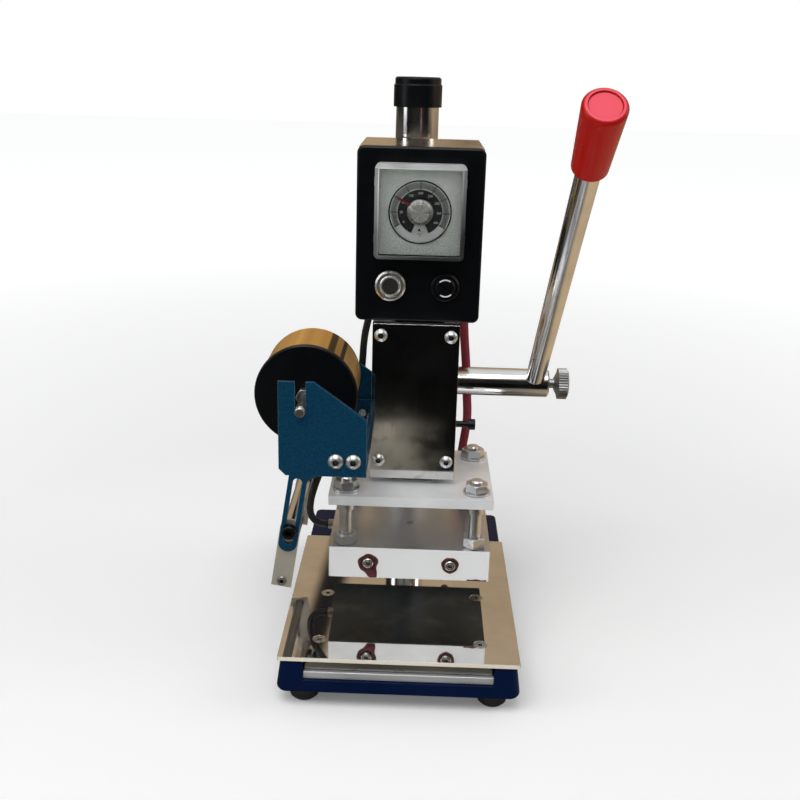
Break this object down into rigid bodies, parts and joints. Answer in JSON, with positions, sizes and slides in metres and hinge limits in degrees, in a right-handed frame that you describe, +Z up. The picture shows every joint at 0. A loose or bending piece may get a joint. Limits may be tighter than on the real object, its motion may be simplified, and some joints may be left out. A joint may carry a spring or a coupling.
{
  "type": "hot foil stamping machine",
  "caption": "Bench-top lever press with a heated block on a rack-driven ram, a sliding mirror table, a foil roll holder and a thermostat box on a round column.",
  "frame": {"origin": "floor level, under the middle of the whole machine's bounding box", "axes": "+Z up, +Y to the back, +X to the operator's right"},
  "size_m": [0.193, 0.292, 0.3536],
  "materials": {
    "navy_paint": "smooth semi-gloss navy paint",
    "rubber_black": "matt moulded rubber",
    "aluminium_bright": "milled, satin",
    "chrome_steel": "hard chrome, polished",
    "black_plastic": "moulded, slight gloss",
    "black_steel": "black oxide",
    "bright_steel": "bright zinc or nickel",
    "mirror_steel": "mirror-polished stainless sheet",
    "polished_steel": "polished, faint upright brushing",
    "bronze": "turned bronze",
    "teal_paint": "hammered teal-blue enamel",
    "zinc": "zinc-plated sheet",
    "clear_plastic": "clear moulded cover",
    "silver_face": "satin silver print",
    "red_plastic": "glossy red moulding",
    "gold_foil": "metallised film, soft gloss",
    "card": "plain spiral-wound card",
    "maroon_sleeve": "braided fibreglass sleeve",
    "black_cable": "smooth cable sheath",
    "cartridge_steel": "heat-tinted stainless tube"
  },
  "bodies": {
    "frame": {"base": "navy_paint", "rubber_feet": "rubber_black", "slide_rail": "aluminium_bright", "column": "chrome_steel", "column_cap": "black_plastic", "column_bolt": "black_steel", "head_block": "aluminium_bright", "clamp_screws": "black_steel", "cover_plate": "polished_steel", "cover_screws": "bright_steel", "gib_strip": "bronze", "gib_screw": "black_steel", "shaft_bushes": "bronze", "box_housing": "polished_steel", "front_panel": "black_plastic", "frame_screws": "bright_steel", "thermostat_case": "black_plastic", "thermostat_face": "silver_face", "thermostat_cover": "clear_plastic", "button_bezel": "bright_steel", "fuse_body": "black_plastic", "mains_gland": "black_plastic", "lead_grommets": "rubber_black", "bracket_web": "teal_paint", "bracket_front": "teal_paint", "bracket_rear": "teal_paint", "bracket_screws": "bright_steel", "guide_bolt": "black_steel", "guide_strips": "zinc", "foil_rod": "zinc", "heater_lead": "maroon_sleeve", "sensor_lead": "black_cable"},
    "lever": {"pinion_shaft": "chrome_steel", "return_spring": "black_steel", "retaining_ring": "black_steel", "lever_rod": "chrome_steel", "lever_grip": "red_plastic"},
    "lock_knob": {"lock_screw": "zinc"},
    "ram": {"ram": "bright_steel", "ram_bolt": "black_steel", "upper_plate": "aluminium_bright", "posts": "bright_steel", "post_nuts": "bright_steel", "heat_block": "aluminium_bright", "heater_cartridges": "cartridge_steel", "heater_plugs": "bright_steel", "thermocouple": "cartridge_steel"},
    "table": {"table_plate": "mirror_steel", "table_screws": "bright_steel", "carriage": "aluminium_bright", "keel": "bright_steel"},
    "roll": {"roll_axle": "zinc", "roll_discs": "black_plastic", "roll_core": "card", "foil_roll": "gold_foil", "disc_nuts": "zinc"},
    "guide": {"guide_roller": "chrome_steel"},
    "dial": {"thermostat_knob": "silver_face"},
    "button": {"button_cap": "black_plastic"},
    "fuse": {"fuse_cap": "black_plastic"}
  },
  "joints": [
    {"name": "lever_turn", "type": "hinge", "parent": "frame", "child": "lever", "pos_m": [0.0749, 0.05026, 0.1666], "axis": [1, 0, 0], "range_deg": [0, 70], "stiffness_Nm_per_rad": 0.5, "springref_deg": -91.67},
    {"name": "ram_slide", "type": "slide", "parent": "frame", "child": "ram", "axis": [0, 0, -1], "range_m": [0, 0.0185], "deforming": ["heater_lead", "sensor_lead"]},
    {"name": "lock_turn", "type": "hinge", "parent": "lever", "child": "lock_knob", "pos_m": [0.0965, 0.05026, 0.1666], "axis": [1, 0, 0], "range_deg": [0, 360]},
    {"name": "table_slide", "type": "slide", "parent": "frame", "child": "table", "axis": [0, -1, 0], "range_m": [0, 0.05]},
    {"name": "roll_spin", "type": "hinge", "parent": "frame", "child": "roll", "pos_m": [-0.0659, -0.04129, 0.1734], "axis": [0, 1, 0], "continuous": true},
    {"name": "guide_spin", "type": "hinge", "parent": "frame", "child": "guide", "pos_m": [-0.07239, -0.04129, 0.0994], "axis": [0, 1, 0], "continuous": true},
    {"name": "dial_turn", "type": "hinge", "parent": "frame", "child": "dial", "pos_m": [-0.0021, 0.01161, 0.2796], "axis": [0, 1, 0], "range_deg": [-80, 190]},
    {"name": "button_press", "type": "slide", "parent": "frame", "child": "button", "axis": [0, 1, 0], "range_m": [0, 0.0025], "stiffness_N_per_m": 800, "springref_m": -0.001},
    {"name": "fuse_turn", "type": "hinge", "parent": "frame", "child": "fuse", "pos_m": [0.0142, 0.01161, 0.2356], "axis": [0, -1, 0], "range_deg": [0, 90]}
  ],
  "couplings": [
    {"joint": "ram_slide", "follows": "lever_turn", "m_per_rad": 0.015}
  ]
}
